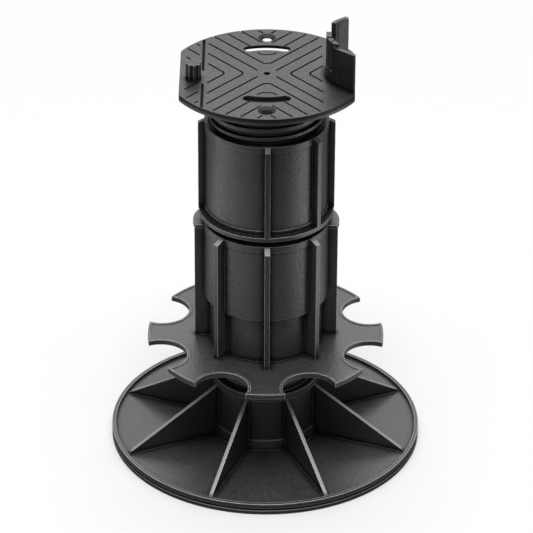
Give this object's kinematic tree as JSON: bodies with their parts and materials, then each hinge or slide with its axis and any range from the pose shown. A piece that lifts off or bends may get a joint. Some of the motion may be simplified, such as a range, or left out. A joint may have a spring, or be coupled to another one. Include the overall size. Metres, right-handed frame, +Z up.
{
  "type": "adjustable decking pedestal",
  "caption": "Screw-adjustable decking pedestal: round gusseted base, two ribbed threaded couplers and a grooved joist head with a pin and a bowed fin.",
  "frame": {"origin": "on the floor under the middle of the base, on the screw axis", "axes": "+Z up the screw axis; +X towards the head's fin; +Y to the back, away from the picture's camera"},
  "size_m": [0.2, 0.2, 0.2894],
  "materials": {
    "base_plastic": "satin black polypropylene with a fine spark-eroded grain",
    "coupler_plastic": "satin black polypropylene with a fine spark-eroded grain",
    "head_plastic": "satin black polypropylene with a fine spark-eroded grain"
  },
  "bodies": {
    "base": {"base": "base_plastic"},
    "star_coupler": {"star_coupler": "coupler_plastic"},
    "extension_coupler": {"extension_coupler": "coupler_plastic"},
    "joist_head": {"joist_head": "head_plastic"}
  },
  "joints": [
    {"name": "star_screw", "type": "slide", "parent": "base", "child": "star_coupler", "axis": [0, 0, 1], "range_m": [-0.0235, 0.01]},
    {"name": "extension_screw", "type": "slide", "parent": "star_coupler", "child": "extension_coupler", "axis": [0, 0, 1], "range_m": [-0.0046, 0.03]},
    {"name": "head_screw", "type": "slide", "parent": "extension_coupler", "child": "joist_head", "axis": [0, 0, 1], "range_m": [-0.0268, 0.018]}
  ]
}
